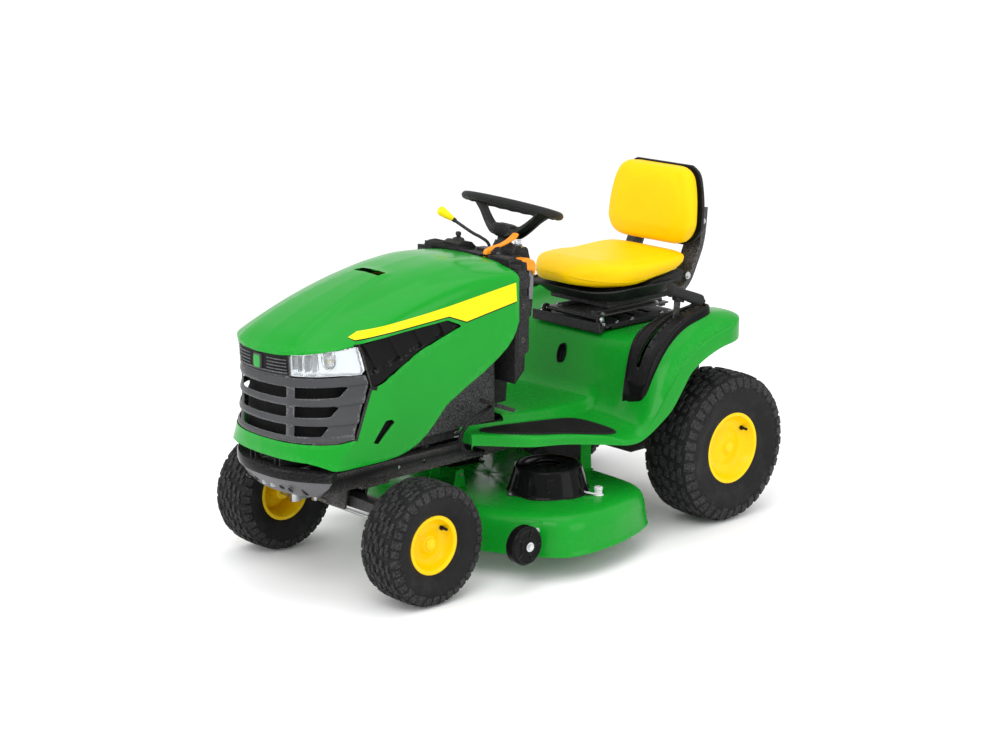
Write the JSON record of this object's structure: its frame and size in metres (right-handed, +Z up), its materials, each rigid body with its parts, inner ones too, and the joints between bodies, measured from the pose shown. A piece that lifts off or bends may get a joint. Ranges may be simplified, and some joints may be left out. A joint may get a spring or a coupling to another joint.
{
  "type": "riding lawn mower",
  "caption": "Front-engine riding lawn tractor with a tilting hood, steered front axle, sliding seat, lift lever and a mid-mounted cutting deck with side discharge.",
  "frame": {"origin": "middle of the whole outline, on the ground under the tyres", "axes": "+Z up, -Y the way the machine drives, +X towards the operator's left"},
  "size_m": [1.194, 1.857, 1.156],
  "materials": {
    "green_plastic": "glossy moulded green",
    "green_paint": "glossy green paint over stamped steel",
    "yellow_paint": "satin yellow paint",
    "yellow_vinyl": "soft yellow vinyl",
    "yellow_plastic": "yellow grip",
    "black_plastic": "textured black",
    "grey_plastic": "satin dark grey",
    "gloss_black": "gloss black",
    "orange_plastic": "orange",
    "tyre_rubber": "moulded rubber",
    "black_steel": "satin black paint",
    "bare_steel": "zinc plated",
    "cast_metal": "painted casting",
    "lens": "clear moulded lens",
    "rubber_mat": "ribbed"
  },
  "bodies": {
    "chassis": {"frame_rail_left": "black_steel", "frame_rail_right": "black_steel", "front_yoke": "black_steel", "front_bumper": "black_plastic", "engine": "cast_metal", "muffler": "black_steel", "transaxle": "cast_metal", "hitch_plate": "black_steel", "fender_pan": "green_paint", "foot_mat_left": "rubber_mat", "foot_mat_right": "rubber_mat", "lift_console": "gloss_black", "fender_tray": "black_plastic", "fuel_tank": "black_plastic", "seat_platform": "black_plastic", "dash_tower": "black_plastic", "dash_panel": "black_plastic"},
    "hood": {"hood_shell": "green_plastic", "grille": "grey_plastic", "headlight_left": "lens", "headlight_right": "lens", "side_panel_left": "gloss_black", "side_panel_right": "gloss_black"},
    "front_axle": {"axle_beam": "black_steel"},
    "spindle_left_body": {"spindle_left": "bare_steel"},
    "spindle_right_body": {"spindle_right": "bare_steel"},
    "front_wheel_left": {"front_tire_left": "tyre_rubber", "front_rim_left": "yellow_paint"},
    "front_wheel_right": {"front_tire_right": "tyre_rubber", "front_rim_right": "yellow_paint"},
    "rear_wheel_left": {"rear_tire_left": "tyre_rubber", "rear_rim_left": "yellow_paint"},
    "rear_wheel_right": {"rear_tire_right": "tyre_rubber", "rear_rim_right": "yellow_paint"},
    "tie_rod_body": {"tie_rod": "bare_steel"},
    "drag_link_body": {"drag_link": "bare_steel"},
    "steering": {"steering_wheel": "black_plastic"},
    "pulley": {"engine_pulley": "bare_steel"},
    "seat_hinge": {"seat_bracket": "black_steel"},
    "seat": {"seat_pan": "black_steel", "seat_cushion": "yellow_vinyl", "seat_back_cushion": "yellow_vinyl", "seat_back_shell": "black_plastic"},
    "deck": {"deck_shell": "green_paint", "spindle_cover_left": "black_plastic", "spindle_cover_right": "black_plastic"},
    "blade_left_body": {"blade_left": "bare_steel"},
    "blade_right_body": {"blade_right": "bare_steel"},
    "gauge_left_body": {"gauge_wheel_left": "black_plastic"},
    "gauge_right_body": {"gauge_wheel_right": "black_plastic"},
    "chute": {"discharge_chute": "black_plastic"},
    "lift": {"lift_lever": "black_plastic"},
    "brake": {"brake_pedal": "grey_plastic"},
    "forward": {"forward_pedal": "grey_plastic"},
    "reverse": {"reverse_pedal": "grey_plastic"},
    "pto": {"pto_lever": "yellow_plastic"},
    "throttle": {"throttle_lever": "orange_plastic"},
    "parking": {"parking_lever": "orange_plastic"},
    "key": {"ignition_key": "bare_steel"},
    "cap": {"fuel_cap": "black_plastic"}
  },
  "joints": [
    {"name": "hood_tilt", "type": "hinge", "parent": "chassis", "child": "hood", "pos_m": [0.042, -0.9025, 0.449], "axis": [1, 0, 0], "range_deg": [0, 65]},
    {"name": "axle_pivot", "type": "hinge", "parent": "chassis", "child": "front_axle", "pos_m": [0.042, -0.6005, 0.25], "axis": [0, 1, 0], "range_deg": [-4, 4]},
    {"name": "steer_left", "type": "hinge", "parent": "front_axle", "child": "spindle_left_body", "pos_m": [0.3, -0.6005, 0.2], "axis": [0, 0, 1], "range_deg": [-32, 32]},
    {"name": "steer_right", "type": "hinge", "parent": "front_axle", "child": "spindle_right_body", "pos_m": [-0.216, -0.6005, 0.2], "axis": [0, 0, 1], "range_deg": [-33, 33]},
    {"name": "front_wheel_left_spin", "type": "hinge", "parent": "spindle_left_body", "child": "front_wheel_left", "pos_m": [0.406, -0.6005, 0.1905], "axis": [1, 0, 0], "continuous": true},
    {"name": "front_wheel_right_spin", "type": "hinge", "parent": "spindle_right_body", "child": "front_wheel_right", "pos_m": [-0.322, -0.6005, 0.1905], "axis": [1, 0, 0], "continuous": true},
    {"name": "tie_rod_pivot", "type": "hinge", "parent": "spindle_left_body", "child": "tie_rod_body", "pos_m": [0.3, -0.5175, 0.166], "axis": [0, 0, 1], "range_deg": [-33, 33]},
    {"name": "drag_link_pivot", "type": "hinge", "parent": "spindle_left_body", "child": "drag_link_body", "pos_m": [0.237, -0.5745, 0.207], "axis": [0, 0, 1], "range_deg": [-33, 33]},
    {"name": "steering_turn", "type": "hinge", "parent": "chassis", "child": "steering", "pos_m": [0.042, 0.1095, 1.08], "axis": [0, 0.309, 0.9511], "range_deg": [-200, 200]},
    {"name": "rear_wheel_left_spin", "type": "hinge", "parent": "chassis", "child": "rear_wheel_left", "pos_m": [0.432, 0.6745, 0.254], "axis": [1, 0, 0], "continuous": true},
    {"name": "rear_wheel_right_spin", "type": "hinge", "parent": "chassis", "child": "rear_wheel_right", "pos_m": [-0.348, 0.6745, 0.254], "axis": [1, 0, 0], "continuous": true},
    {"name": "pulley_spin", "type": "hinge", "parent": "chassis", "child": "pulley", "pos_m": [0.042, -0.3355, 0.322], "axis": [0, 0, 1], "continuous": true},
    {"name": "seat_tilt", "type": "hinge", "parent": "chassis", "child": "seat_hinge", "pos_m": [0.042, 0.3865, 0.681], "axis": [1, 0, 0], "range_deg": [0, 40]},
    {"name": "seat_slide", "type": "slide", "parent": "seat_hinge", "child": "seat", "axis": [0, 1, 0], "range_m": [-0.05, 0.03]},
    {"name": "deck_height", "type": "slide", "parent": "chassis", "child": "deck", "axis": [0, 0, 1], "range_m": [-0.045, 0]},
    {"name": "blade_left_spin", "type": "hinge", "parent": "deck", "child": "blade_left_body", "pos_m": [0.312, 0.0145, 0.11], "axis": [0, 0, 1], "continuous": true},
    {"name": "blade_right_spin", "type": "hinge", "parent": "deck", "child": "blade_right_body", "pos_m": [-0.196, 0.0145, 0.11], "axis": [0, 0, 1], "continuous": true},
    {"name": "gauge_left_spin", "type": "hinge", "parent": "deck", "child": "gauge_left_body", "pos_m": [0.542, -0.3095, 0.146], "axis": [1, 0, 0], "continuous": true},
    {"name": "gauge_right_spin", "type": "hinge", "parent": "deck", "child": "gauge_right_body", "pos_m": [-0.406, -0.2555, 0.146], "axis": [1, 0, 0], "continuous": true},
    {"name": "chute_flip", "type": "hinge", "parent": "deck", "child": "chute", "pos_m": [-0.475, 0.1345, 0.196], "axis": [0, 1, 0], "range_deg": [0, 80]},
    {"name": "lift_turn", "type": "hinge", "parent": "chassis", "child": "lift", "pos_m": [0.392, 0.4445, 0.52], "axis": [1, 0, 0], "range_deg": [-0.5, 38.5]},
    {"name": "brake_press", "type": "hinge", "parent": "chassis", "child": "brake", "pos_m": [0.242, -0.2305, 0.368], "axis": [1, 0, 0], "range_deg": [0, 20], "stiffness_Nm_per_rad": 20, "springref_deg": -5.73},
    {"name": "forward_press", "type": "hinge", "parent": "chassis", "child": "forward", "pos_m": [-0.134, -0.2305, 0.368], "axis": [1, 0, 0], "range_deg": [0, 20], "stiffness_Nm_per_rad": 20, "springref_deg": -5.73},
    {"name": "reverse_press", "type": "hinge", "parent": "chassis", "child": "reverse", "pos_m": [-0.178, -0.2305, 0.368], "axis": [1, 0, 0], "range_deg": [0, 20], "stiffness_Nm_per_rad": 20, "springref_deg": -5.73},
    {"name": "pto_pull", "type": "hinge", "parent": "chassis", "child": "pto", "pos_m": [-0.01, 0.0605, 0.915], "axis": [1, 0, 0], "range_deg": [0, 18]},
    {"name": "throttle_turn", "type": "hinge", "parent": "chassis", "child": "throttle", "pos_m": [0.122, -0.0775, 0.96], "axis": [1, 0, 0], "range_deg": [0, 15]},
    {"name": "parking_pull", "type": "slide", "parent": "chassis", "child": "parking", "axis": [0, 0, 1], "range_m": [0, 0.02]},
    {"name": "key_turn", "type": "hinge", "parent": "chassis", "child": "key", "pos_m": [0.134, 0.0475, 0.96], "axis": [0, 0, 1], "range_deg": [0, 60]},
    {"name": "cap_turn", "type": "hinge", "parent": "chassis", "child": "cap", "pos_m": [-0.173, 0.7045, 0.675], "axis": [0, 0, 1], "range_deg": [0, 120]}
  ],
  "couplings": [
    {"joint": "steer_right", "follows": "steer_left", "ratio": 1},
    {"joint": "tie_rod_pivot", "follows": "steer_left", "ratio": -1},
    {"joint": "drag_link_pivot", "follows": "steer_left", "ratio": -1},
    {"joint": "steering_turn", "follows": "steer_left", "ratio": 6},
    {"joint": "lift_turn", "follows": "deck_height", "rad_per_m": -14.738},
    {"joint": "blade_right_spin", "follows": "blade_left_spin", "ratio": 1},
    {"joint": "pulley_spin", "follows": "blade_left_spin", "ratio": 1.1}
  ]
}
